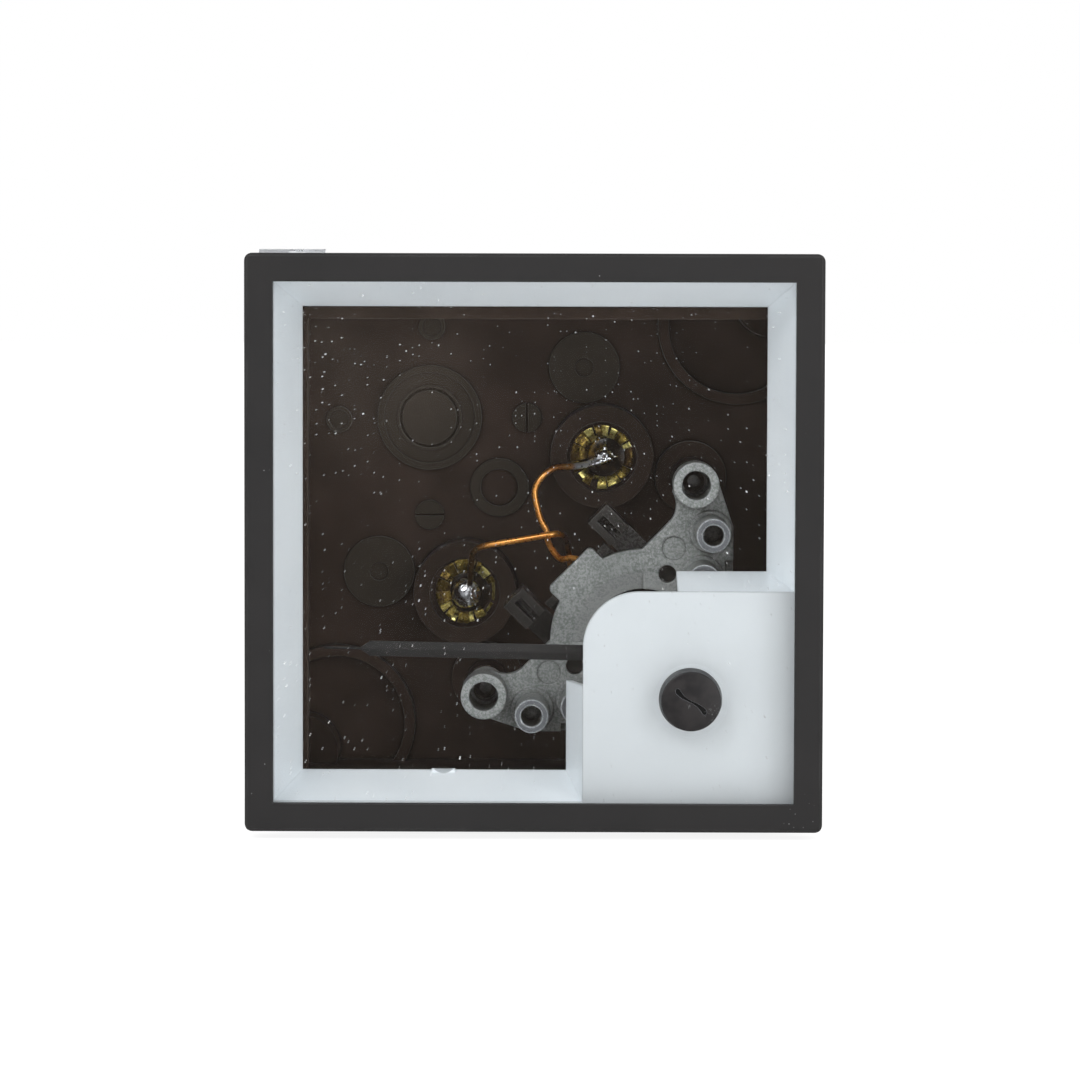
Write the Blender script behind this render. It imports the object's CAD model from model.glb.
# %% [markdown]
# A square panel ammeter, seen from the front without its scale plate.
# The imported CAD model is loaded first. It fixes every size and place, so the work here is looks:
# a camera like the photograph's, soft studio light, finishes for every piece, and detailed pieces
# where the plain CAD solid is too simple, such as the enamelled wire and the solder.

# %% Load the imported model
import math

import bmesh
import bpy
from mathutils import Matrix, Vector, kdtree, noise


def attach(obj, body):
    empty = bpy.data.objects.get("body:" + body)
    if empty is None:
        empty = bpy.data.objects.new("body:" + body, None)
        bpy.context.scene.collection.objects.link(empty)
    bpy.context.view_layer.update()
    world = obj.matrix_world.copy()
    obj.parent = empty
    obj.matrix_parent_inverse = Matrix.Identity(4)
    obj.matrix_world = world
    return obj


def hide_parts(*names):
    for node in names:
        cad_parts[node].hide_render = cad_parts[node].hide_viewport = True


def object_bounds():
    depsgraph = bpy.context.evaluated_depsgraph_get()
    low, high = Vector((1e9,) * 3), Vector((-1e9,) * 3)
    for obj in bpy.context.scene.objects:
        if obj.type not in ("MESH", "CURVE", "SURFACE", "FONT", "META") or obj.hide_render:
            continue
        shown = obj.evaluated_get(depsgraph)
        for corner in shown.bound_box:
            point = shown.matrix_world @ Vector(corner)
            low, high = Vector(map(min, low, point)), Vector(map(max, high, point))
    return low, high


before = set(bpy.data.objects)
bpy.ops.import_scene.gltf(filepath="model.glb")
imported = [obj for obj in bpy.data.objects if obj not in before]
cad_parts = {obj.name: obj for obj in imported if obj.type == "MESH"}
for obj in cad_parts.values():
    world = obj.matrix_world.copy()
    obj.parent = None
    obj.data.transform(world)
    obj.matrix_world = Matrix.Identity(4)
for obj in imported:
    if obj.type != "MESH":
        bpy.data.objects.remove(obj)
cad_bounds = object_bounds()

MM = 0.001

# %% [markdown]
# The camera stands about 53 cm in front of the bezel, slightly above and to the right of its middle.
# Its place comes from how far each feature of the photograph shifts with its depth, so the ring of the
# movement and the case floor line up with the bezel as they do there. A long lens keeps the sides of
# the case hidden behind the bezel.

# %% Camera
def add_camera(place, turn, lens):
    data = bpy.data.cameras.new("camera")
    data.lens = lens
    data.sensor_width = 36
    data.clip_start = 0.01
    data.clip_end = 20
    camera = bpy.data.objects.new("camera", data)
    camera.location = place
    camera.rotation_euler = [math.radians(a) for a in turn]
    bpy.context.scene.collection.objects.link(camera)
    bpy.context.scene.camera = camera
    return camera


camera = add_camera((0.003655, -0.537466, 0.030324), (86.7904, -0.1534, 0.3218), 143.07)
print("camera", tuple(camera.location))

# %% [markdown]
# The world, the floor and every finish are small trees of nodes. The same helpers serve all of them: an
# empty material, a smooth ramp from one range of values to another, sums, and a mix of two shaders.

# %% Helpers for node trees
def add(tree, kind):
    return tree.nodes.new("ShaderNode" + kind)


def blank_material(name):
    mat = bpy.data.materials.new(name)
    mat.use_nodes = True
    mat.node_tree.nodes.clear()
    return mat, mat.node_tree, add(mat.node_tree, "OutputMaterial")


def level(tree, value, low, high, to_low=0.0, to_high=1.0):
    node = add(tree, "MapRange")
    node.interpolation_type = "SMOOTHSTEP"
    for name, number in zip(("From Min", "From Max", "To Min", "To Max"), (low, high, to_low, to_high)):
        node.inputs[name].default_value = number
    tree.links.new(value, node.inputs["Value"])
    return node.outputs["Result"]


def maths(tree, kind, a, b):
    node = add(tree, "Math")
    node.operation = kind
    for socket, value in zip(node.inputs, (a, b)):
        if isinstance(value, (int, float)):
            socket.default_value = value
        else:
            tree.links.new(value, socket)
    return node.outputs[0]


def times(tree, a, b):
    return maths(tree, "MULTIPLY", a, b)


def plus(tree, a, b):
    return maths(tree, "ADD", a, b)


def vector_maths(tree, kind, a, b):
    node = add(tree, "VectorMath")
    node.operation = kind
    for socket, value in zip(node.inputs, (a, b)):
        if isinstance(value, bpy.types.NodeSocket):
            tree.links.new(value, socket)
        else:
            socket.default_value = value
    return node.outputs["Value"]


def axes(tree, where):
    node = add(tree, "SeparateXYZ")
    tree.links.new(where, node.inputs[0])
    return node.outputs


def mix_shaders(tree, share, a, b):
    node = add(tree, "MixShader")
    for socket, value in zip(node.inputs, (share, a, b)):
        tree.links.new(value, socket)
    return node.outputs[0]


print("node helpers ready")

# %% [markdown]
# A product photograph like this one is taken in a white tent: pale light comes from everywhere but from
# the dark hole that the lens looks through. The world gives that light. Camera rays see it as plain
# white. Mirror rays see the hole in front of the meter, which keeps the clear window dark, and two soft
# boxes beside it, which give the solder its glints. The light on the matt surfaces is a little weaker
# from the front than from the sides, top and bottom.

# %% World
# The way to each soft box from the meter, and its power
SOFT_BOXES = (((-0.38, -1.0, 0.52), 7.0), ((0.42, -1.0, 0.05), 6.0))


def seen_directly(tree, path):
    return maths(tree, "MAXIMUM", path.outputs["Is Camera Ray"], path.outputs["Is Transmission Ray"])


def light_tent(strength, front, warm):
    world = bpy.data.worlds.new("tent")
    world.use_nodes = True
    tree = world.node_tree
    tree.nodes.clear()
    out = add(tree, "OutputWorld")
    path = add(tree, "LightPath")
    where = add(tree, "TexCoord").outputs["Generated"]
    ahead = axes(tree, where)["Y"]
    mirrored = level(tree, ahead, -0.975, -0.80, 0.03, 1.0)
    for way, power in SOFT_BOXES:
        facing = vector_maths(tree, "DOT_PRODUCT", where, Vector(way).normalized())
        mirrored = plus(tree, mirrored, level(tree, facing, 0.966, 0.984, 0.0, power))
    soft = level(tree, ahead, -0.95, -0.20, front * strength, strength)
    white, glossy, matt = (add(tree, "Background") for _ in range(3))
    for back, colour in ((white, (1, 1, 1, 1)), (glossy, (1, 1, 1, 1)), (matt, warm)):
        back.inputs["Color"].default_value = colour
    tree.links.new(mirrored, glossy.inputs["Strength"])
    tree.links.new(soft, matt.inputs["Strength"])
    lit = mix_shaders(tree, path.outputs["Is Glossy Ray"], matt.outputs[0], glossy.outputs[0])
    shown = mix_shaders(tree, seen_directly(tree, path), lit, white.outputs[0])
    tree.links.new(shown, out.inputs["Surface"])
    bpy.context.scene.world = world


light_tent(1.69, 0.76, (1.0, 0.995, 0.985, 1.0))
bpy.context.scene.view_settings.view_transform = "Standard"
print("world ready")

# %% [markdown]
# Two soft lamps add a little direction: one from the upper left, which gives the casting and the
# solder their highlights, and a weaker one from the right.

# %% Lamps
def add_lamp(name, place, aim, size, power):
    data = bpy.data.lights.new(name, "AREA")
    data.shape = "RECTANGLE"
    data.size = size[0]
    data.size_y = size[1]
    data.energy = power
    lamp = bpy.data.objects.new(name, data)
    lamp.location = place
    lamp.rotation_euler = (Vector(aim) - Vector(place)).to_track_quat("-Z", "Y").to_euler()
    bpy.context.scene.collection.objects.link(lamp)


add_lamp("lamp_upper_left", (-0.28, -0.42, 0.42), (0, 0.02, 0), (0.16, 0.16), 0.55)
add_lamp("lamp_right", (0.40, -0.35, 0.18), (0, 0.02, 0), (0.16, 0.20), 0.35)

# %% [markdown]
# The floor is plain and pale. It is a large sheet just under the lowest point of the meter. Seen by the
# camera it is lifted towards white, but keeps a part of the meter's shadow. Mirror rays pass it by, or
# the upright window would show it as a pale veil.

# %% Floor
FLOOR_GAP = 0.0002


# Makes an object of a finished shape
def as_object(shape, name):
    mesh = bpy.data.meshes.new(name)
    shape.to_mesh(mesh)
    shape.free()
    piece = bpy.data.objects.new(name, mesh)
    bpy.context.scene.collection.objects.link(piece)
    return piece


def add_floor(height):
    shape = bmesh.new()
    bmesh.ops.create_grid(shape, x_segments=2, y_segments=2, size=6.0)
    bmesh.ops.translate(shape, vec=(0, 0, height), verts=shape.verts)
    floor = as_object(shape, "floor")
    mat, tree, out = blank_material("floor_white")
    paper = add(tree, "BsdfDiffuse")
    paper.inputs["Color"].default_value = (0.9, 0.9, 0.9, 1)
    glow = add(tree, "Emission")
    glow.inputs["Strength"].default_value = 1.1
    path = add(tree, "LightPath")
    seen = maths(tree, "MAXIMUM", seen_directly(tree, path), path.outputs["Is Glossy Ray"])
    lifted = mix_shaders(tree, times(tree, seen, 0.80), paper.outputs[0], glow.outputs[0])
    tree.links.new(lifted, out.inputs["Surface"])
    floor.data.materials.append(mat)
    floor.visible_glossy = False
    return floor


floor = add_floor(cad_bounds[0][2] - FLOOR_GAP)
print("floor at", round(floor.data.vertices[0].co.z / MM, 2), "mm")

# %% [markdown]
# These helpers start a finish and make the few patterns and steps that the finishes share. Sizes are
# given in millimetres and made small here, because the patterns read the piece's own coordinates, which
# are metres.

# %% Helpers for patterns
def stored(tree, name):
    node = add(tree, "Attribute")
    node.attribute_name = name
    return node.outputs["Fac"]


def start(name):
    mat, tree, out = blank_material(name)
    shader = add(tree, "BsdfPrincipled")
    tree.links.new(shader.outputs["BSDF"], out.inputs["Surface"])
    return mat, tree, shader


def position(tree):
    return add(tree, "TexCoord").outputs["Object"]


def place(tree, stretch=(1, 1, 1), turn=(0, 0, 0)):
    mapping = add(tree, "Mapping")
    mapping.inputs["Scale"].default_value = stretch
    mapping.inputs["Rotation"].default_value = [math.radians(a) for a in turn]
    tree.links.new(position(tree), mapping.inputs["Vector"])
    return mapping.outputs["Vector"]


def grain(tree, where, size, detail=3.0, rough=0.55):
    node = add(tree, "TexNoise")
    node.inputs["Scale"].default_value = 1000 / size
    node.inputs["Detail"].default_value = detail
    node.inputs["Roughness"].default_value = rough
    tree.links.new(where, node.inputs["Vector"])
    return node.outputs["Fac"]


def blend(tree, share, a, b):
    node = add(tree, "Mix")
    node.data_type = "RGBA"
    tree.links.new(share, node.inputs["Factor"])
    for name, value in (("A", a), ("B", b)):
        socket = next(s for s in node.inputs if s.name == name and s.type == "RGBA")
        if isinstance(value, tuple):
            socket.default_value = (*value, 1.0)
        else:
            tree.links.new(value, socket)
    return next(s for s in node.outputs if s.type == "RGBA")


# Lays a colour over another one where a mask says so, at a share of its full strength
def layer(tree, base, mask, share, colour):
    return blend(tree, times(tree, mask, share), base, colour)


def both_grains(tree, fine, broad, fine_share):
    return plus(tree, times(tree, fine, fine_share), times(tree, broad, 1 - fine_share))


# Gives the shader its colour, a roughness that follows a pattern, and its constants
def dress(tree, shader, base, pattern, gloss, **constants):
    tree.links.new(base, shader.inputs["Base Color"])
    tree.links.new(level(tree, pattern, 0.3, 0.7, *gloss), shader.inputs["Roughness"])
    for name, number in constants.items():
        shader.inputs[SOCKETS[name]].default_value = number


SOCKETS = {"shine": "Specular IOR Level", "metallic": "Metallic", "coat": "Coat Weight",
           "coat_gloss": "Coat Roughness"}
print("pattern helpers ready")

# %% [markdown]
# Dust is drawn as small round specks, one at most in each cell of a grid of cells. On the flat window the
# cells are flat too, or most specks would lie inside the pane. Worn edges and dirty corners come from the
# shape itself: a Bevel node bends the surface near an edge, and where the bent surface turns away from
# the true one, there is an edge to brighten. Ambient Occlusion finds the corners that a cloth misses.

# %% Helpers for dust, edges and corners
def specks(tree, where, spacing, radius, share, flat=False):
    cells = add(tree, "TexVoronoi")
    cells.inputs["Scale"].default_value = 1000 / spacing
    if flat:
        cells.voronoi_dimensions = "2D"
        apart, join = axes(tree, where), add(tree, "CombineXYZ")
        tree.links.new(apart["X"], join.inputs["X"])
        tree.links.new(apart["Z"], join.inputs["Y"])
        where = join.outputs[0]
    tree.links.new(where, cells.inputs["Vector"])
    pick = add(tree, "SeparateColor")
    tree.links.new(cells.outputs["Color"], pick.inputs[0])
    size = level(tree, pick.outputs[1], 0.0, 1.0, 0.45, 1.0)
    gap = maths(tree, "DIVIDE", cells.outputs["Distance"], size)
    dot = level(tree, gap, radius / spacing, 0.55 * radius / spacing)
    dot = times(tree, dot, level(tree, pick.outputs[2], 0.0, 1.0, 0.3, 1.0))
    return times(tree, dot, maths(tree, "LESS_THAN", pick.outputs[0], share))


def near(tree, centre, inner, outer):
    gap = vector_maths(tree, "DISTANCE", position(tree), [c * MM for c in centre])
    return level(tree, gap, outer * MM, inner * MM)


def depth(tree, front, rear):
    return level(tree, axes(tree, position(tree))["Y"], front * MM, rear * MM)


def rounded(tree, radius):
    node = add(tree, "Bevel")
    node.samples = 4
    node.inputs["Radius"].default_value = radius * MM
    return node.outputs["Normal"]


def edges(tree, soft):
    true = add(tree, "NewGeometry").outputs["Normal"]
    return level(tree, vector_maths(tree, "DOT_PRODUCT", soft, true), 0.99, 0.86)


def corners(tree, reach):
    node = add(tree, "AmbientOcclusion")
    node.samples = 6
    node.inputs["Distance"].default_value = reach * MM
    return level(tree, node.outputs["AO"], 0.92, 0.45)


def bumps(tree, shader, height, deep, strength=1.0, under=None):
    node = add(tree, "Bump")
    node.inputs["Strength"].default_value = strength
    node.inputs["Distance"].default_value = deep * MM
    tree.links.new(height, node.inputs["Height"])
    if under is not None:
        tree.links.new(under, node.inputs["Normal"])
    tree.links.new(node.outputs["Normal"], shader.inputs["Normal"])
    return node.outputs["Normal"]


print("dust and edge helpers ready")

# %% [markdown]
# Moulded plastic has a fine matt grain from its tool, soft larger patches where it shrank, slightly
# rounded edges that catch the light, and a little dust. One recipe serves the bezel, the bobbin, the
# seal and the pointer, with other colours and another gloss. The bezel also has some crumbs of dust near
# one corner.

# %% Plastics
NOWHERE = (0, 0, 90)


def moulded(name, dark, pale, gloss, shine, grain_mm, deep, dust, edge_mm=0.15, worn=(0.12, 0.12, 0.12),
            crumbs_at=NOWHERE):
    mat, tree, shader = start(name)
    where = place(tree)
    fine = grain(tree, where, grain_mm, 4.0, 0.6)
    patch = grain(tree, where, 9.0, 3.0, 0.5)
    mixed = both_grains(tree, fine, patch, 0.45)
    base = blend(tree, level(tree, mixed, 0.35, 0.65), dark, pale)
    soft = rounded(tree, edge_mm)
    base = layer(tree, base, edges(tree, soft), level(tree, patch, 0.4, 0.62, 0.15, 0.8), worn)
    dots = plus(tree, specks(tree, where, 1.6, 0.10, dust), specks(tree, where, 0.7, 0.05, dust))
    crumbs = times(tree, specks(tree, where, 0.6, 0.10, 0.40), near(tree, crumbs_at, 0.5, 3.5))
    base = layer(tree, base, plus(tree, dots, crumbs), 0.7, (0.42, 0.42, 0.44))
    dress(tree, shader, base, mixed, gloss, shine=shine)
    bumps(tree, shader, fine, deep, 0.5, soft)
    return mat


bezel_plastic = moulded("bezel_black", (0.0080, 0.0074, 0.0076), (0.0118, 0.0109, 0.0111), (0.5, 0.68),
                        shine=0.28, grain_mm=0.12, deep=0.010, dust=0.10, edge_mm=0.30,
                        worn=(0.05, 0.05, 0.05), crumbs_at=(33.0, -5.5, -33.5))
bobbin_plastic = moulded("bobbin_dark", (0.022, 0.020, 0.018), (0.044, 0.040, 0.037), (0.14, 0.34), shine=0.5,
                         grain_mm=0.3, deep=0.016, dust=0.05, edge_mm=0.18, worn=(0.24, 0.24, 0.23))
seal_rubber = moulded("seal_rubber", (0.03, 0.03, 0.03), (0.05, 0.05, 0.05), (0.75, 0.9), shine=0.3,
                      grain_mm=0.15, deep=0.010, dust=0.05)
needle_paint = moulded("needle_black", (0.0095, 0.0095, 0.0095), (0.0185, 0.0178, 0.0178), (0.40, 0.55),
                       shine=0.22, grain_mm=0.1, deep=0.006, dust=0.06, edge_mm=0.06,
                       worn=(0.05, 0.05, 0.05))
print("plastics:", len(bpy.data.materials))

# %% [markdown]
# The case is a dark brown moulding. The tops of its raised rings and discs look a little greener than the
# floor between them, and what comes well forward of the floor is darker. Both tints follow the depth in
# the case, so they are right from every side. The corners round each mark are darker too, and its rims
# are a little paler.

# %% Case plastic
# Depths at which a tint starts and is full: just off the floor, at the tallest mark, and well forward
OFF_FLOOR, TALLEST, FORWARD = (41.15, 41.05), (39.3, 39.6), (36.5, 35.0)


def case_moulding():
    mat, tree, shader = start("case_brown_black")
    where = place(tree)
    fine = grain(tree, where, 0.2, 4.0, 0.6)
    patch = grain(tree, where, 11.0, 3.0, 0.5)
    mixed = both_grains(tree, fine, patch, 0.3)
    base = blend(tree, level(tree, mixed, 0.38, 0.62), (0.0415, 0.0263, 0.0185), (0.0620, 0.0400, 0.0300))
    raised = times(tree, depth(tree, *OFF_FLOOR), depth(tree, *TALLEST))
    base = layer(tree, base, raised, 0.85, (0.0500, 0.0425, 0.0310))
    base = layer(tree, base, depth(tree, *FORWARD), 0.5, (0.020, 0.013, 0.009))
    soft = rounded(tree, 0.22)
    base = layer(tree, base, edges(tree, soft), 0.50, (0.150, 0.138, 0.122))
    base = layer(tree, base, corners(tree, 0.8), 0.75, (0.012, 0.008, 0.006))
    dots = plus(tree, specks(tree, where, 2.3, 0.12, 0.2), specks(tree, where, 1.1, 0.06, 0.2))
    base = layer(tree, base, dots, 0.5, (0.30, 0.29, 0.28))
    dress(tree, shader, base, mixed, (0.34, 0.52), shine=0.09)
    bumps(tree, shader, fine, 0.008, 0.5, soft)
    return mat


case_plastic = case_moulding()
print("case plastic ready")

# %% [markdown]
# The mask is white with a cold tint and a satin skin. Its edges are softly rounded. Light that has gone
# through the white plastic comes out again near by, so its walls are nearly as bright as its face. The
# small catch in its lower edge is greyer.

# %% Mask plastic
CATCH = (-11.5, 5.2, -28.2)
BEHIND_FACE = (-2.30, -1.9)


def white_moulding():
    mat, tree, shader = start("mask_white")
    where = place(tree)
    fine = grain(tree, where, 0.25, 3.0, 0.5)
    patch = grain(tree, where, 13.0, 3.0, 0.5)
    walls = depth(tree, *BEHIND_FACE)
    face = blend(tree, level(tree, patch, 0.35, 0.65), (0.615, 0.652, 0.672), (0.632, 0.670, 0.690))
    side = blend(tree, level(tree, patch, 0.35, 0.65), (0.90, 0.955, 0.99), (0.92, 0.97, 1.0))
    base = blend(tree, walls, face, side)
    base = blend(tree, near(tree, CATCH, 1.5, 1.7), base, (0.42, 0.45, 0.47))
    base = layer(tree, base, specks(tree, where, 2.9, 0.07, 0.10), 0.35, (0.35, 0.34, 0.33))
    dress(tree, shader, base, patch, (0.36, 0.48))
    bumps(tree, shader, fine, 0.003, 0.4, rounded(tree, 0.35))
    return mat


mask_plastic = white_moulding()
print("mask plastic ready")

# %% [markdown]
# The window is clear acrylic. It is mostly see-through, with a weak mirror that grows where it is seen at
# a slant, dust on its face and a thin brown film, thickest in its upper left part. A see-through shader
# mixed with a glossy one lets the lamps reach the movement behind it, which solid glass would not. Round
# the adjuster's hole there is no pane, so its finish is switched off there.

# %% Window
BUTTON = (19.6, -19.6)
PANE_Y = -4.5
DUSTY = (-27.5, PANE_Y, 24.5)
FILMED = (-20, PANE_Y, 22)


def clear_pane():
    mat, tree, out = blank_material("window_clear")
    shader = add(tree, "BsdfPrincipled")
    where = place(tree)
    open_air = add(tree, "BsdfTransparent")
    open_air.inputs["Color"].default_value = (0.97, 0.975, 0.98, 1)
    slant = add(tree, "LayerWeight")
    slant.inputs["Blend"].default_value = 0.5
    mirror = level(tree, maths(tree, "POWER", slant.outputs["Facing"], 4.0), 0.0, 1.0, 0.035, 0.9)
    wide = grain(tree, where, 16.0, 2.0)
    dust = plus(tree, specks(tree, where, 0.8, 0.080, 0.13, True),
                specks(tree, where, 2.4, 0.125, 0.20, True))
    patch = near(tree, DUSTY, 2.0, 8.0)
    thick = times(tree, specks(tree, where, 0.7, 0.080, 0.22, True), patch)
    dust = times(tree, plus(tree, dust, thick), level(tree, wide, 0.35, 0.7, 0.35, 1.0))
    film = times(tree, level(tree, grain(tree, where, 14.0, 4.0), 0.35, 0.75, 0.2, 1.0),
                 near(tree, FILMED, 2.0, 19.0))
    haze = plus(tree, times(tree, film, 0.046), 0.013)
    cover = maths(tree, "MINIMUM", plus(tree, times(tree, dust, 0.95), haze), 1.0)
    outside = level(tree, near(tree, (BUTTON[0], -4.0, BUTTON[1]), 4.6, 4.8), 0.0, 1.0, 1.0, 0.0)
    tint = blend(tree, level(tree, dust, 0.0, 0.06), (0.27, 0.225, 0.19), (0.95, 0.96, 0.98))
    tree.links.new(tint, shader.inputs["Base Color"])
    shader.inputs["Roughness"].default_value = 0.5
    shader.inputs["Specular IOR Level"].default_value = 0.0
    gloss = add(tree, "BsdfGlossy")
    gloss.inputs["Roughness"].default_value = 0.03
    clear = mix_shaders(tree, times(tree, mirror, outside), open_air.outputs[0], gloss.outputs[0])
    dusty = mix_shaders(tree, times(tree, cover, outside), clear, shader.outputs[0])
    tree.links.new(dusty, out.inputs["Surface"])
    return mat


window_clear = clear_pane()
print("window ready")

# %% [markdown]
# Metals mirror their surroundings, so their look comes from how rough they are and how that changes.
# The steel is smooth, the brass has darker tarnish in patches, and rubbed edges are brighter.

# %% Metals
def metal(name, dark, pale, gloss, grain_mm, deep, edge_mm=0.08):
    mat, tree, shader = start(name)
    where = place(tree)
    fine = grain(tree, where, grain_mm, 5.0, 0.65)
    patch = grain(tree, where, 2.4, 4.0, 0.6)
    mixed = both_grains(tree, fine, patch, 0.5)
    soft = rounded(tree, edge_mm)
    base = blend(tree, level(tree, mixed, 0.36, 0.64), dark, pale)
    base = layer(tree, base, edges(tree, soft), 0.5, pale)
    dress(tree, shader, base, mixed, gloss[::-1], metallic=1.0)
    bumps(tree, shader, fine, deep, 0.6, soft)
    return mat


# Dark and pale colour, smoothest and roughest, then the grain's size and depth
plated = metal("zinc_plate", (0.66, 0.68, 0.71), (0.88, 0.90, 0.92), (0.22, 0.4), 0.5, 0.006)
dark_steel = metal("oiled_steel", (0.20, 0.20, 0.20), (0.40, 0.40, 0.41), (0.3, 0.5), 0.4, 0.010)
steel = metal("bare_steel", (0.36, 0.37, 0.38), (0.58, 0.59, 0.60), (0.28, 0.45), 0.4, 0.006)
brass = metal("bare_brass", (0.30, 0.23, 0.07), (0.74, 0.60, 0.23), (0.24, 0.45), 0.45, 0.010)
bronze = metal("bronze_strip", (0.45, 0.28, 0.12), (0.68, 0.46, 0.22), (0.25, 0.4), 0.5, 0.004)
copper = metal("copper_wire", (0.50, 0.19, 0.05), (0.86, 0.40, 0.12), (0.18, 0.32), 0.6, 0.004)
solder = metal("solder_tin", (0.62, 0.63, 0.66), (1.0, 1.0, 1.0), (0.14, 0.34), 0.9, 0.004, 0.05)
print("metals ready")

# %% [markdown]
# The movement's frame is a raw zinc die casting: a dull grey-green skin, mottled where the metal met the
# cold tool, with fine scratches and rims rubbed bright. The tab, the lugs and the machined tops of the
# tall posts are darker and bluer, and the ledge inside the ring is scraped pale. A third of the finish
# is metal and the rest a matt oxide skin.

# %% Casting
RING = (14.05, -14.05)
TAB = (4.9, 27.8, -4.9)
LEDGE, LIP = (9.25, 9.0), (7.85, 7.65)
LUG_TOPS, POST_TOPS = (24.6, 23.6), (7.9, 7.6)
BRIGHT = (1.0, 1.0, 1.0)


# Is 1 nearer than a radius to a line along Y through a place (x, z), and 0 further off
def round_band(tree, centre, outer, inner):
    apart = axes(tree, position(tree))
    across = maths(tree, "SUBTRACT", apart["X"], centre[0] * MM)
    up = maths(tree, "SUBTRACT", apart["Z"], centre[1] * MM)
    squares = plus(tree, times(tree, across, across), times(tree, up, up))
    return level(tree, maths(tree, "SQRT", squares, 0.0), outer * MM, inner * MM)


def casting():
    mat, tree, shader = start("zinc_casting")
    where = place(tree)
    fine = grain(tree, where, 0.30, 6.0, 0.7)
    blotch = grain(tree, where, 1.5, 5.0, 0.65)
    wide = grain(tree, where, 8.0, 2.0)
    mixed = both_grains(tree, fine, blotch, 0.8)
    base = blend(tree, level(tree, mixed, 0.42, 0.57), (0.30, 0.325, 0.305), BRIGHT)
    base = blend(tree, level(tree, wide, 0.45, 0.62, 0.0, 0.30), base, (0.26, 0.285, 0.265))
    scratch = grain(tree, place(tree, (1, 1, 0.06), (0, 38, 0)), 0.22, 2.0)
    marks = times(tree, level(tree, scratch, 0.62, 0.70), level(tree, blotch, 0.42, 0.58))
    base = layer(tree, base, marks, 0.7, BRIGHT)
    ledge = round_band(tree, RING, *LEDGE)
    base = layer(tree, base, ledge, level(tree, fine, 0.40, 0.58, 0.35, 1.0), BRIGHT)
    lip = round_band(tree, RING, *LIP)
    base = layer(tree, base, lip, level(tree, fine, 0.35, 0.55, 0.3, 1.0), BRIGHT)
    base = layer(tree, base, depth(tree, *LUG_TOPS), 0.75, (0.20, 0.215, 0.205))
    base = layer(tree, base, near(tree, TAB, 3.2, 5.2), 0.68, (0.24, 0.255, 0.285))
    tops = depth(tree, *POST_TOPS)
    base = layer(tree, base, tops, 0.85, (0.095, 0.100, 0.112))
    soft = rounded(tree, 0.38)
    rim = times(tree, edges(tree, soft), level(tree, fine, 0.35, 0.6, 0.35, 1.0))
    base = layer(tree, base, rim, level(tree, tops, 0.0, 1.0, 0.12, 1.0), (0.95, 0.98, 1.0))
    base = layer(tree, base, corners(tree, 1.0), 0.6, (0.040, 0.040, 0.036))
    dress(tree, shader, base, mixed, (0.62, 0.36))
    tree.links.new(level(tree, ledge, 0.0, 1.0, 0.35, 0.0), shader.inputs["Metallic"])
    bumps(tree, shader, mixed, 0.030, 0.8, soft)
    return mat


zinc = casting()
print("casting ready")

# %% [markdown]
# The wire's copper shows through clear enamel, which is a second, very smooth skin over the metal. Near
# the upper solder it is tinned silver, and some stretches are dull with old flux. Two attributes on the
# mesh say where along the wire that is, so that the finish follows the wire round every bend.

# %% Enamelled wire finish
def enamelled():
    mat, tree, shader = start("copper_enamel")
    where = place(tree)
    fine = grain(tree, where, 0.5, 4.0, 0.6)
    patch = grain(tree, where, 3.0, 3.0, 0.5)
    base = blend(tree, level(tree, patch, 0.35, 0.65), (0.66, 0.24, 0.040), (0.95, 0.42, 0.09))
    base = blend(tree, stored(tree, "dull"), base, (0.080, 0.056, 0.026))
    base = blend(tree, stored(tree, "tin"), base, (0.72, 0.73, 0.76))
    dress(tree, shader, base, fine, (0.24, 0.38), metallic=0.72, coat=0.3, coat_gloss=0.14)
    bumps(tree, shader, fine, 0.004, 0.3)
    return mat


wire_enamel = enamelled()
print("wire finish ready")

# %% [markdown]
# Old flux fills the two cups round the solder: a glassy, nearly black amber with grit in it. It shows its
# amber at one place beside the upper solder, where it is thin.

# %% Flux
THIN = (7.4, 33, 10.9)


def flux_glass():
    mat, tree, shader = start("old_flux")
    where = place(tree)
    patch = grain(tree, where, 1.1, 4.0, 0.6)
    grit = specks(tree, where, 0.35, 0.05, 0.35)
    base = blend(tree, level(tree, patch, 0.45, 0.7), (0.012, 0.008, 0.005), (0.034, 0.020, 0.008))
    amber = near(tree, THIN, 0.6, 1.9)
    base = layer(tree, base, amber, level(tree, patch, 0.35, 0.6), (0.26, 0.15, 0.016))
    base = layer(tree, base, grit, 0.6, (0.20, 0.13, 0.08))
    dress(tree, shader, base, patch, (0.08, 0.20), shine=0.16)
    bumps(tree, shader, patch, 0.03, 0.6)
    return mat


flux = flux_glass()
print("flux ready")

# %% [markdown]
# Each CAD node keeps its shape and takes the finish of its real counterpart. The nodes that a detailed
# piece stands for get a finish too, because the CAD model can be shown by itself.

# %% Give the CAD nodes their finishes
FINISHES = [
    (case_plastic, "case"), (bezel_plastic, "bezel zero_adjuster"), (window_clear, "window"),
    (seal_rubber, "window_seal"), (mask_plastic, "mask"), (bobbin_plastic, "bobbin"),
    (needle_paint, "pointer"), (zinc, "movement_frame"), (dark_steel, "movement_screws"),
    (steel, "spindle fixed_iron moving_iron"), (copper, "coil_wire winding_core"),
    (solder, "solder_joints"), (bronze, "hairspring"),
    (brass, "zero_lever bridge front_bearing rear_bearing balance_weights terminal_bushes"),
    (brass, "terminal_studs terminal_washers terminal_nuts"),
    (plated, "bridge_screws clamp_upper clamp_lower clamp_screw_upper clamp_screw_lower"),
]


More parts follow.
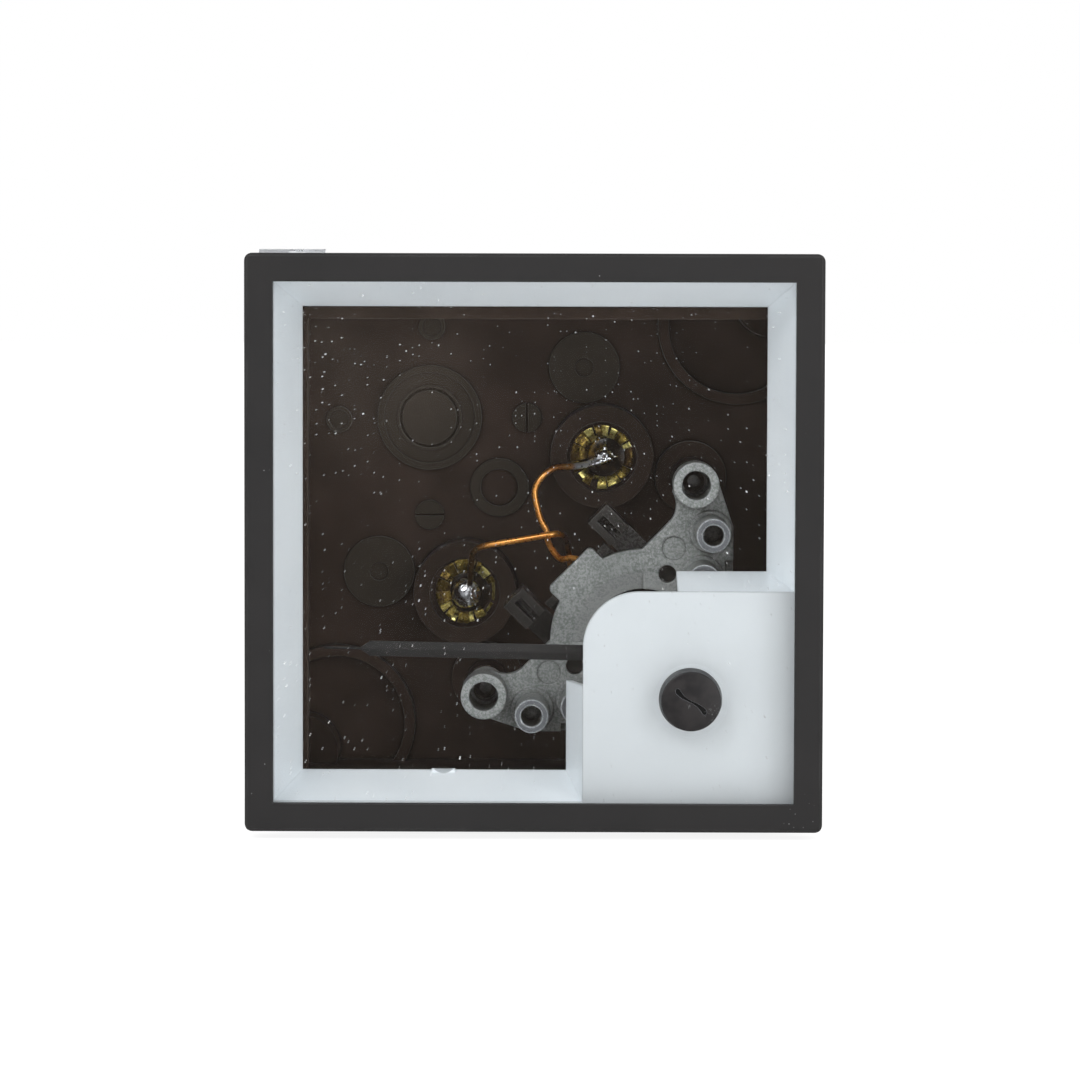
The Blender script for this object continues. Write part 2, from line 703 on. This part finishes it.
def paint(node, finish):
    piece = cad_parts[node]
    if not piece.material_slots:
        piece.data.materials.append(finish)
    for spot in piece.material_slots:
        spot.material = finish


finished = [(node, finish) for finish, nodes in FINISHES for node in nodes.split()]
for node, finish in finished:
    paint(node, finish)
print("finished nodes:", len(finished), "of", len(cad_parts))

# %% [markdown]
# The new pieces are built in millimetres in the meter's own frame and made small at the end. This helper
# turns a finished shape into an object, gives it its finish, and says which body it rides on, which CAD
# nodes it stands for and which slot of the record it belongs to.

# %% Helper for new pieces
SMALL, LARGE = (MM,) * 3, (1 / MM,) * 3


def add_piece(name, shape, finish, body, nodes, sharp=35):
    bmesh.ops.scale(shape, vec=SMALL, verts=shape.verts)
    piece = as_object(shape, name)
    piece.data.materials.append(finish)
    piece.data.shade_smooth()
    piece.data.set_sharp_from_angle(angle=math.radians(sharp))
    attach(piece, body)
    if nodes:
        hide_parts(*nodes)
    print(name, len(piece.data.polygons), "faces")
    return piece


# The mesh of an object with its modifiers or its curve worked out; the object itself goes
def worked_out(carrier):
    mesh = bpy.data.meshes.new_from_object(carrier.evaluated_get(bpy.context.evaluated_depsgraph_get()))
    bpy.data.objects.remove(carrier)
    return mesh


def as_shape(mesh):
    shape = bmesh.new()
    shape.from_mesh(mesh)
    bpy.data.meshes.remove(mesh)
    return shape


# Turns a profile of (radius, depth) points round a line along Y through a place (x, z)
def turned(shape, centre, profile, closed=True, steps=48, start_at=0.0, sweep=360.0):
    a = math.radians(start_at)
    points = [shape.verts.new((centre[0] + r * math.cos(a), y, centre[1] + r * math.sin(a)))
              for r, y in profile]
    lines = [shape.edges.new(pair) for pair in zip(points, points[1:])]
    if closed:
        lines.append(shape.edges.new((points[-1], points[0])))
    whole = sweep == 360.0
    bmesh.ops.spin(shape, geom=points + lines, cent=(centre[0], 0, centre[1]), axis=(0, -1, 0),
                   angle=math.radians(sweep), steps=steps, use_merge=whole, use_duplicate=False)
    if whole:
        bmesh.ops.remove_doubles(shape, verts=shape.verts, dist=1e-5)
    bmesh.ops.recalc_face_normals(shape, faces=shape.faces)


# Adds one finished shape to another
def join_shapes(whole, part):
    mesh = bpy.data.meshes.new("part")
    part.to_mesh(mesh)
    part.free()
    whole.from_mesh(mesh)
    bpy.data.meshes.remove(mesh)


# Takes out the flat faces that a profile leaves where it starts or ends on the axis
def drop_slivers(shape):
    bmesh.ops.dissolve_degenerate(shape, dist=1e-5, edges=shape.edges)


print("piece helpers ready")

# %% [markdown]
# The wire is one piece from the lower terminal to the rear of the coil, ten turns round it and back from
# its front to the upper terminal. A round tube along one smooth curve gives it, as the wire is one length
# of round copper. The route repeats the CAD's, point for point, in millimetres.

# %% Wire route
UPPER = (8.747, 9.454)
LOWER = (-9.454, -8.747)
RIM_UPPER = Vector((UPPER[0], 32.5, UPPER[1]))
RIM_LOWER = Vector((LOWER[0], 32.5, LOWER[1]))
WIND = Vector((RING[0], 21.1, RING[1]))
WIRE_R = 0.425
COIL_R = 8.32 / math.cos(math.radians(7.5)) + WIRE_R

lead_lower = [RIM_LOWER + Vector(p) for p in (
    (0.3, 0.9, 0.5), (0.5, -0.1, 1.0), (0.7, -1.1, 1.5), (0.85, -2.5, 2.9), (1.0, -3.8, 4.7),
    (1.3, -4.6, 5.8), (2.1, -5.1, 6.4), (3.6, -5.7, 6.8), (7.5, -6.6, 7.5))]
lead_lower += [WIND + Vector(p) for p in (
    (-12.5, 4.4, 13.45), (-11.3, 4.9, 13.6), (-10.6, 6.6, 13.35), (-10.1, 9.6, 12.7),
    (-9.8, 12.4, 11.4), (-9.5, 13.8, 9.2), (-9.2, 14.35, 6.2), (-9.0, 14.5, 3.0))]
lead_upper = [WIND + Vector(p) for p in (
    (-1.7, 0.65, 9.2), (-4.6, 0.8, 9.6), (-7.3, 1.4, 10.1), (-9.25, 2.7, 10.55),
    (-10.75, 4.0, 10.35), (-11.8, 5.2, 11.4), (-12.45, 6.4, 12.6), (-12.6, 6.9, 13.8))]
lead_upper += [RIM_UPPER + Vector(p) for p in (
    (-8.1, -4.5, -8.1), (-8.6, -4.5, -6.4), (-8.9, -4.5, -4.6), (-8.5, -4.5, -3.3),
    (-7.5, -4.4, -2.1), (-6.1, -3.8, -1.3), (-4.0, -2.6, -1.2), (-2.2, -1.2, -1.0),
    (-1.2, -0.3, -0.6), (-0.2, 0.6, -0.2))]


# Where the winding starts and ends, in degrees round the coil, and how far apart its points are
WOUND_FROM, WOUND_TO, WOUND_STEP = 184, 3682, 10


def helix_point(angle):
    share = (angle - WOUND_FROM) / (WOUND_TO - WOUND_FROM)
    turn = math.radians(angle)
    return WIND + Vector((COIL_R * math.cos(turn), 14.575 - 13.95 * share, COIL_R * math.sin(turn)))


helix = [helix_point(angle) for angle in range(WOUND_FROM, WOUND_TO, WOUND_STEP)]


def smooth_route(points, parts):
    route = []
    for i in range(len(points) - 1):
        a, b = points[max(i - 1, 0)], points[i]
        c, d = points[i + 1], points[min(i + 2, len(points) - 1)]
        for j in range(parts):
            t = j / parts
            route.append(0.5 * (2 * b + (c - a) * t + (2 * a - 5 * b + 4 * c - d) * t * t
                                + (3 * b - a - 3 * c + d) * t * t * t))
    return route + [points[-1]]


SMOOTH_PARTS = 6
lower_route = smooth_route(lead_lower + [helix[0]], SMOOTH_PARTS)
upper_route = smooth_route([helix[-1]] + lead_upper, SMOOTH_PARTS)
wire_route = lower_route + helix[1:-1] + upper_route
print("wire points:", len(wire_route))

# %% [markdown]
# A curve with a round bevel makes the tube. Each point of its mesh then takes its tin and its dullness
# from how far along the route the nearest point of the route lies.

# %% Wire piece
def lay_wire(name, route, radius):
    line = bpy.data.curves.new(name, "CURVE")
    line.dimensions = "3D"
    line.bevel_depth = radius * MM
    line.bevel_resolution = 3
    line.use_fill_caps = True
    spline = line.splines.new("POLY")
    spline.points.add(len(route) - 1)
    for point, place_mm in zip(spline.points, route):
        point.co = (*(place_mm * MM), 1)
    carrier = bpy.data.objects.new(name + "_line", line)
    bpy.context.scene.collection.objects.link(carrier)
    mesh = worked_out(carrier)
    bpy.data.curves.remove(line)
    return mesh


def stations(route):
    lengths = [0.0]
    for a, b in zip(route, route[1:]):
        lengths.append(lengths[-1] + (b - a).length)
    return lengths


def between(steps, value):
    if value <= steps[0][0]:
        return steps[0][1]
    for (a, low), (b, high) in zip(steps, steps[1:]):
        if value <= b:
            return low + (high - low) * (value - a) / (b - a)
    return steps[-1][1]


# How tinned and how dull the wire is, by the millimetres from its lower end and from its upper end
TIN_LOWER = [(0, 0.7), (1.6, 0.5), (2.4, 0.0)]
TIN_UPPER = [(0, 1.0), (4.6, 1.0), (5.3, 0.0)]
DULL_LOWER = [(0, 0.95), (8.6, 0.92), (10.0, 0.30), (11.5, 0.0), (20.0, 0.0), (22.0, 0.75), (26.0, 0.85),
              (36.0, 0.4)]
DULL_UPPER = [(0, 0.0), (4.0, 0.35), (6.5, 0.50), (9.0, 0.40), (11.5, 0.0), (24.0, 0.0)]


def add_wire():
    mesh = lay_wire("coil_wire_enamelled", wire_route, WIRE_R)
    tree = kdtree.KDTree(len(wire_route))
    for i, point in enumerate(wire_route):
        tree.insert(point * MM, i)
    tree.balance()
    far = stations(wire_route)
    total = far[-1]
    tin_layer = mesh.attributes.new("tin", "FLOAT", "POINT")
    dull_layer = mesh.attributes.new("dull", "FLOAT", "POINT")
    for i, vertex in enumerate(mesh.vertices):
        at = far[tree.find(vertex.co)[1]]
        lower = at < total / 2
        tin_layer.data[i].value = between(TIN_LOWER, at) if lower else between(TIN_UPPER, total - at)
        dull_layer.data[i].value = between(DULL_LOWER, at) if lower else between(DULL_UPPER, total - at)
    mesh.materials.append(wire_enamel)
    mesh.shade_smooth()
    piece = bpy.data.objects.new("coil_wire_enamelled", mesh)
    bpy.context.scene.collection.objects.link(piece)
    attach(piece, "housing")
    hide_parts("coil_wire")
    print("wire", round(total), "mm long,", len(mesh.polygons), "faces")


add_wire()

# %% [markdown]
# Each terminal bush is a brass sleeve whose front end is cut and splayed over the plastic. The tool left
# a ring of uneven petals, some torn away, each leaning its own way, so each mirrors another part of the
# light. Its flux stained some of them brown. The table gives every petal seen in the photograph: where
# it starts and ends round the bush, its inner and outer radius, its lean and twist, and how clean it is.

# %% Petals of the bushes
# from, to, inner radius, outer radius, lean, twist, cleanness
PETALS_UPPER = [
    (154, 187, 2.15, 4.10, 5, -3, 0.30), (129, 152, 2.35, 4.15, 8, 8, 0.32),
    (108, 127, 2.45, 4.20, 20, -9, 0.85), (92, 106, 2.75, 4.20, 6, 10, 0.38),
    (75, 90, 2.85, 4.25, 22, -14, 0.85), (59, 73, 2.85, 4.15, 26, 8, 0.95),
    (48, 57, 2.95, 4.05, 10, 14, 0.45), (32, 46, 3.0, 4.15, 14, -14, 0.55),
    (20, 30, 3.15, 4.15, 22, 6, 0.90), (-19, 18, 3.25, 4.10, 3, 0, 0.12),
    (-36, -22, 3.1, 4.05, 12, 8, 0.35), (-50, -38, 3.0, 4.0, 8, -10, 0.55),
    (-61, -51, 2.9, 4.05, 16, 8, 0.65), (-79, -62, 2.85, 4.05, 20, -8, 0.78),
    (-98, -80, 2.85, 4.25, 18, 6, 0.75), (-129, -113, 2.9, 4.05, 6, 6, 0.35),
    (-146, -130, 2.7, 4.0, 34, -6, 1.0), (-159, -148, 2.9, 4.1, 4, 8, 0.2),
    (-171, -160, 2.95, 4.1, 8, -6, 0.35),
]
PETALS_LOWER = [
    (62, 69, 3.1, 4.2, 10, 6, 0.45), (35, 60, 2.95, 4.1, 30, -8, 1.0), (20, 33, 3.1, 4.05, 24, 12, 0.4),
    (-17, 17, 3.62, 4.05, 70, 0, 0.75), (-44, -24, 3.6, 4.15, 64, 6, 0.8),
    (-58, -46, 2.95, 4.05, 14, 10, 0.5), (-70, -59, 2.95, 4.05, 10, -12, 0.55),
    (-82, -72, 2.95, 4.15, 26, 14, 0.85), (-107, -84, 2.95, 4.2, 8, -3, 0.45),
    (-117, -109, 3.6, 4.35, 34, 16, 0.95), (-134, -119, 2.7, 4.1, 18, -10, 0.65),
    (-149, -136, 2.6, 4.1, 22, 8, 0.75), (-179, -151, 2.35, 4.0, 6, 6, 0.38),
    (153, 179, 2.4, 3.95, 5, -8, 0.33), (136, 151, 2.5, 4.0, 10, 10, 0.25),
    (114, 134, 2.6, 4.15, 8, -8, 0.42), (88, 112, 2.75, 4.2, 10, 5, 0.5), (72, 86, 3.0, 4.1, 4, -6, 0.3),
]


# One petal: a bent strip turned through its angle, thickened, leaned about its root and twisted
def petal(centre, from_deg, to_deg, inner, outer, lean, twist):
    part = bmesh.new()
    profile = [(inner - 0.10, 33.05), (inner, 32.84), (inner + 0.2, 32.72),
               ((inner + outer) / 2, 32.70), (outer - 0.1, 32.74), (outer, 32.82)]
    turned(part, centre, profile, closed=False, steps=4, start_at=from_deg, sweep=to_deg - from_deg)
    bmesh.ops.solidify(part, geom=part.faces[:], thickness=0.20)
    middle = math.radians((from_deg + to_deg) / 2)
    out = Vector((math.cos(middle), 0, math.sin(middle)))
    across = Vector((math.sin(middle), 0, -math.cos(middle)))
    root = Vector((centre[0], 32.8, centre[1])) + out * (inner + 0.1)
    bmesh.ops.rotate(part, cent=root, matrix=Matrix.Rotation(math.radians(lean), 3, across), verts=part.verts)
    heart = root + out * ((outer - inner) / 2)
    bmesh.ops.rotate(part, cent=heart, matrix=Matrix.Rotation(math.radians(twist), 3, out), verts=part.verts)
    bmesh.ops.recalc_face_normals(part, faces=part.faces)
    return part


# How clean the nearest petal is; the bore and the sleeve behind the petals are half clean
def clean_share(centre, petals, point):
    x, z = point.x / MM - centre[0], point.z / MM - centre[1]
    if math.hypot(x, z) < 2.0 or point.y / MM > 33.6:
        return 0.5
    angle = math.degrees(math.atan2(z, x))
    row = min(petals, key=lambda p: abs((angle - (p[0] + p[1]) / 2 + 180) % 360 - 180) - (p[1] - p[0]) / 2)
    return row[6]


def add_bush(name, centre, ring, petals):
    shape = bmesh.new()
    turned(shape, centre, [
        (3.0, 43.0), (3.0, 33.75), (3.15, 33.30), (2.98, 33.12), (2.66, 33.08), (2.50, 33.30), (2.42, 33.6),
        (1.80, 34.75), (1.77, 35.1), (1.77, 43.0)])
    for row in petals:
        join_shapes(shape, petal(ring, *row[:6]))
    piece = add_piece(name, shape, stained_brass, "housing", ("terminal_bushes",), 40)
    clean = piece.data.attributes.new("clean", "FLOAT", "POINT")
    for vertex in piece.data.vertices:
        clean.data[vertex.index].value = clean_share(ring, petals, vertex.co)


print("petals:", len(PETALS_UPPER), "and", len(PETALS_LOWER))

# %% [markdown]
# The stain follows how clean each petal is, which is stored on the mesh. A fine and a broad grain make it
# uneven within a petal.

# %% Stained brass
def stain():
    mat, tree, shader = start("stained_brass")
    where = place(tree)
    fine = grain(tree, where, 0.28, 5.0, 0.7)
    patch = grain(tree, where, 1.3, 4.0, 0.6)
    mottled = both_grains(tree, fine, patch, 0.55)
    spread = level(tree, mottled, 0.34, 0.66, -0.30, 0.30)
    clean = plus(tree, stored(tree, "clean"), spread)
    base = blend(tree, level(tree, clean, 0.05, 0.65), (0.042, 0.022, 0.008), (0.160, 0.112, 0.020))
    base = blend(tree, level(tree, clean, 0.55, 1.15), base, (0.66, 0.58, 0.20))
    soft = rounded(tree, 0.07)
    base = layer(tree, base, edges(tree, soft), level(tree, fine, 0.4, 0.6, 0.1, 0.7), (0.55, 0.48, 0.20))
    dress(tree, shader, base, mottled, (0.42, 0.20), metallic=0.9)
    bumps(tree, shader, mottled, 0.035, 0.8, soft)
    return mat


stained_brass = stain()
add_bush("bush_upper", UPPER, UPPER, PETALS_UPPER)
# The lower bush's petals were splayed a little off its centre
add_bush("bush_lower", LOWER, (LOWER[0] + 0.20, LOWER[1] + 0.26), PETALS_LOWER)

# %% [markdown]
# Solder that froze as it flowed has a smooth, lumpy skin with drawn-out points. A heap of balls and a
# ridge towards the wire, melted into one skin by a voxel remesh and then smoothed, gives that. A pool of
# old flux, a flat turned disc that leans a little, fills the cup beside it and covers some petals' roots.
# The plastic ring that the petals were pressed onto is turned too. It shows between and round them.

# %% Solder and flux
VOXEL = 0.07
SMOOTHINGS = 7


def melted(name, centre, balls, rough):
    heap = bmesh.new()
    for x, z, y, rx, ry, rz in balls:
        size = Matrix.Translation((centre[0] + x, y, centre[1] + z)) @ Matrix.Diagonal((rx, ry, rz, 1))
        bmesh.ops.create_icosphere(heap, subdivisions=3, radius=1.0, matrix=size)
    bmesh.ops.scale(heap, vec=SMALL, verts=heap.verts)
    carrier = as_object(heap, "heap")
    skin = carrier.modifiers.new("skin", "REMESH")
    skin.mode = "VOXEL"
    skin.voxel_size = VOXEL * MM
    shape = as_shape(worked_out(carrier))
    bmesh.ops.scale(shape, vec=LARGE, verts=shape.verts)
    for _ in range(SMOOTHINGS):
        bmesh.ops.smooth_vert(shape, verts=shape.verts, factor=0.5, use_axis_x=True, use_axis_y=True,
                              use_axis_z=True)
    shape.normal_update()
    for vert in shape.verts:
        wave = noise.noise(vert.co * 1.6) * 0.05 + noise.noise(vert.co * 4.0) * rough
        vert.co += vert.normal * wave
    add_piece(name, shape, solder, "housing", ("solder_joints",), 180)


# x, z and depth of each ball, then its three radii
melted("solder_upper", UPPER, [
    (0.35, 0.00, 33.2, 1.30, 1.1, 1.20), (0.30, 0.35, 32.75, 0.85, 0.9, 0.90),
    (0.95, -0.20, 32.35, 0.60, 0.55, 0.50), (0.25, 0.40, 32.30, 0.42, 0.5, 0.45),
    (0.36, 1.10, 32.65, 0.32, 0.6, 0.60), (0.42, 1.70, 32.85, 0.20, 0.4, 0.34),
    (1.65, 0.02, 32.80, 0.52, 0.4, 0.22), (0.10, -0.50, 32.40, 0.70, 0.55, 0.42),
    (-0.60, -0.80, 32.25, 0.60, 0.45, 0.40), (-1.20, -1.0, 32.0, 0.45, 0.40, 0.33),
    (-0.35, 0.00, 32.9, 0.75, 0.8, 0.85)], 0.010)
melted("solder_lower", (LOWER[0] + 0.19, LOWER[1] - 0.05), [
    (0.0, 0.0, 33.15, 2.0, 1.15, 2.1), (-0.15, 0.15, 32.95, 1.5, 1.15, 1.6),
    (-0.45, 0.75, 32.75, 0.9, 0.85, 0.9), (1.02, 1.05, 32.75, 0.26, 0.45, 0.30),
    (0.80, 0.72, 32.40, 0.27, 0.5, 0.34), (0.64, 0.30, 32.20, 0.28, 0.5, 0.36),
    (0.66, -0.15, 32.18, 0.28, 0.5, 0.36), (0.78, -0.62, 32.30, 0.28, 0.5, 0.36),
    (0.98, -1.05, 32.50, 0.27, 0.5, 0.34), (1.22, -1.45, 32.80, 0.23, 0.45, 0.32),
    (1.35, -0.35, 32.7, 0.16, 0.4, 0.30)], 0.020)


def flux_pool(name, centre, radius, lean):
    shape = bmesh.new()
    turned(shape, centre, [(0.0, 32.95), (radius * 0.5, 32.97), (radius * 0.9, 33.05), (radius * 0.98, 33.12),
                           (radius, 33.25), (radius * 0.9, 33.6), (0.0, 33.6)], closed=False)
    drop_slivers(shape)
    turn = Matrix.Rotation(math.radians(lean), 3, (0.25, 0, 1))
    bmesh.ops.rotate(shape, cent=(centre[0], 33.1, centre[1]), matrix=turn, verts=shape.verts)
    add_piece(name, shape, flux, "housing", (), 50)


seat_plastic = moulded("seat_brown", (0.026, 0.017, 0.012), (0.040, 0.026, 0.019), (0.5, 0.7),
                       shine=0.09, grain_mm=0.2, deep=0.008, dust=0.1)


def seats():
    shape = bmesh.new()
    for centre in (UPPER, LOWER):
        part = bmesh.new()
        turned(part, centre, [(3.22, 32.92), (4.5, 32.92), (4.62, 32.97), (4.62, 34.0), (3.22, 34.0)])
        join_shapes(shape, part)
    add_piece("petal_seats", shape, seat_plastic, "housing", ())


seats()
flux_pool("flux_upper", (UPPER[0] + 0.50, UPPER[1] - 0.05), 2.72, -4.5)
flux_pool("flux_lower", (LOWER[0] + 0.62, LOWER[1] + 0.12), 3.0, -3.5)

# %% [markdown]
# The zero adjuster's head is a tapered black button with a rounded front rim. A screwdriver has worn its
# slot wide at both ends and left scratches across its middle. The button is turned in one profile, and
# the slot is cut with a thin bow-shaped block, because its outline changes along its length.

# %% Button finish
SLOT_MARKS = (19.35, -5.3, -19.75)
CHIPPED = (22.4, -5.2, -21.2)
BELOW_FACE = (-5.12, -5.0)


def button_finish():
    mat, tree, shader = start("button_black")
    where = place(tree)
    fine = grain(tree, where, 0.2, 4.0, 0.6)
    patch = grain(tree, where, 2.2, 3.0, 0.55)
    base = blend(tree, level(tree, patch, 0.35, 0.65), (0.0120, 0.0112, 0.0120), (0.0200, 0.0182, 0.0185))
    soft = rounded(tree, 0.12)
    base = layer(tree, base, depth(tree, *BELOW_FACE), 0.9, (0.002, 0.002, 0.002))
    rub = times(tree, edges(tree, soft), level(tree, fine, 0.3, 0.6, 0.3, 1.0))
    base = layer(tree, base, rub, 0.5, (0.26, 0.27, 0.30))
    lines = grain(tree, place(tree, (1, 1, 0.12), (0, -52, 0)), 0.18, 2.0)
    marks = times(tree, level(tree, lines, 0.60, 0.68), near(tree, SLOT_MARKS, 0.2, 0.95))
    chips = times(tree, level(tree, fine, 0.60, 0.66), near(tree, CHIPPED, 0.3, 1.7))
    base = layer(tree, base, plus(tree, marks, chips), 0.5, (0.34, 0.35, 0.36))
    dress(tree, shader, base, patch, (0.30, 0.46), shine=0.2)
    bumps(tree, shader, fine, 0.012, 0.5, soft)
    return mat


button_plastic = button_finish()
print("button finish ready")

# %% [markdown]
# The button is made in three steps: the turned body, the slot taken out of it, and the pin at its rear
# that moves the zero lever.

# %% Button
# Takes one closed shape away from another
def cut(shape, tool):
    whole, taken = as_object(shape, "whole"), as_object(tool, "taken")
    knife = whole.modifiers.new("cut", "BOOLEAN")
    knife.operation = "DIFFERENCE"
    knife.solver = "EXACT"
    knife.object = taken
    result = as_shape(worked_out(whole))
    bpy.data.objects.remove(taken)
    return result


SLOT_HALF = 2.45
SLOT_TURN = 40


# Bow-shaped block: narrow in its middle, wide at both ends and bent like an S
def worn_slot():
    tool = bmesh.new()
    bmesh.ops.create_circle(tool, cap_ends=True, radius=1.0, segments=40)
    for vert in tool.verts:
        p, q = vert.co.x, vert.co.y
        wide = (0.13 + 0.30 * abs(p) ** 1.6) * min(1.0, 1.8 * abs(q))
        vert.co = Vector((SLOT_HALF * p, 0, math.copysign(wide, q) + 0.20 * math.sin(math.pi * p)))
    made = bmesh.ops.extrude_face_region(tool, geom=tool.faces[:])
    moved = [v for v in made["geom"] if isinstance(v, bmesh.types.BMVert)]
    bmesh.ops.translate(tool, vec=(0, 1.0, 0), verts=moved)
    bmesh.ops.recalc_face_normals(tool, faces=tool.faces)
    turn = Matrix.Rotation(math.radians(SLOT_TURN), 3, (0, 1, 0))
    bmesh.ops.rotate(tool, cent=(0, 0, 0), matrix=turn, verts=tool.verts)
    bmesh.ops.translate(tool, vec=(BUTTON[0], -5.85, BUTTON[1] - 0.05), verts=tool.verts)
    return tool


# How far the pin for the zero lever stands off the button's axis, each way
PIN_OFF = 0.8485


def add_button():
    shape = bmesh.new()
    turned(shape, BUTTON, [(0.0, -5.3), (3.5, -5.3), (3.64, -5.27), (3.72, -5.20), (3.75, -5.08),
                           (3.97, -2.45), (1.75, -2.45), (1.75, -1.15), (2.0, -1.13), (1.75, -0.8),
                           (0.0, -0.8)], closed=False, steps=72)
    drop_slivers(shape)
    shape = cut(shape, worn_slot())
    pin = bmesh.new()
    turned(pin, (BUTTON[0] + PIN_OFF, BUTTON[1] - PIN_OFF), [
        (0.0, -1.0), (0.45, -1.0), (0.45, 1.18), (0.38, 1.25), (0.0, 1.25)],
           closed=False, steps=24)
    join_shapes(shape, pin)
    add_piece("button", shape, button_plastic, "adjuster", ("zero_adjuster",), 30)


add_button()

# %% [markdown]
# The CAD draws threads as plain bars. Here the studs and the clamp screws get a real helical ridge: a
# small triangle that is turned and moved on together, wound round a slimmer core.

# %% Threads
def thread(shape, centre, core, outer, front, rear, pitch, steps):
    turns = (rear - front) / pitch - 1
    part = bmesh.new()
    profile = [(core - 0.05, front), (outer, front + pitch / 2), (core - 0.05, front + pitch * 0.98)]
    points = [part.verts.new((centre[0] + r, y, centre[1])) for r, y in profile]
    lines = [part.edges.new((points[i], points[(i + 1) % 3])) for i in range(3)]
    total = int(turns * steps)
    bmesh.ops.spin(part, geom=points + lines, cent=(centre[0], 0, centre[1]), axis=(0, -1, 0),
                   dvec=(0, pitch / steps, 0), angle=2 * math.pi * turns, steps=total, use_merge=False)
    bmesh.ops.holes_fill(part, edges=part.edges, sides=3)
    bmesh.ops.recalc_face_normals(part, faces=part.faces)
    join_shapes(shape, part)


def add_studs():
    shape = bmesh.new()
    for centre in (UPPER, LOWER):
        part = bmesh.new()
        turned(part, centre, [(0.0, 34.5), (1.75, 34.5), (1.75, 47.0), (1.62, 47.1), (1.62, 56.5),
                              (1.3, 57.0), (0.0, 57.0)], closed=False, steps=32)
        drop_slivers(part)
        join_shapes(shape, part)
        thread(shape, centre, core=1.62, outer=2.0, front=46.6, rear=56.7, pitch=0.7, steps=24)
    add_piece("threaded_studs", shape, brass, "housing", ("terminal_studs",), 25)


def add_clamp_screw(name, centre, body, node):
    shape = bmesh.new()
    turned(shape, centre, [(0.0, 3.0), (0.75, 3.0), (0.95, 3.25), (0.95, 40.7), (0.75, 41.0), (0.0, 41.0)],
           closed=False, steps=24)
    drop_slivers(shape)
    tool = bmesh.new()
    bmesh.ops.create_cube(tool, size=1.0, matrix=Matrix.Translation((centre[0], 41.0, centre[1]))
                          @ Matrix.Diagonal((3.0, 2.0, 0.4, 1)))
    shape = cut(shape, tool)
    thread(shape, centre, core=0.95, outer=1.2, front=3.2, rear=40.6, pitch=0.45, steps=16)
    add_piece(name, shape, plated, body, (node,), 25)


add_studs()
CLAMP = (-30.4, 35.15)
add_clamp_screw("clamp_screw_upper_threaded", CLAMP, "upper_screw", "clamp_screw_upper")
add_clamp_screw("clamp_screw_lower_threaded", (-CLAMP[0], -CLAMP[1]), "lower_screw", "clamp_screw_lower")

# %% [markdown]
# The sizes of the CAD model and of the dressed model are written down, to be compared.

# %% Write the sizes and finish
print("sizes written")
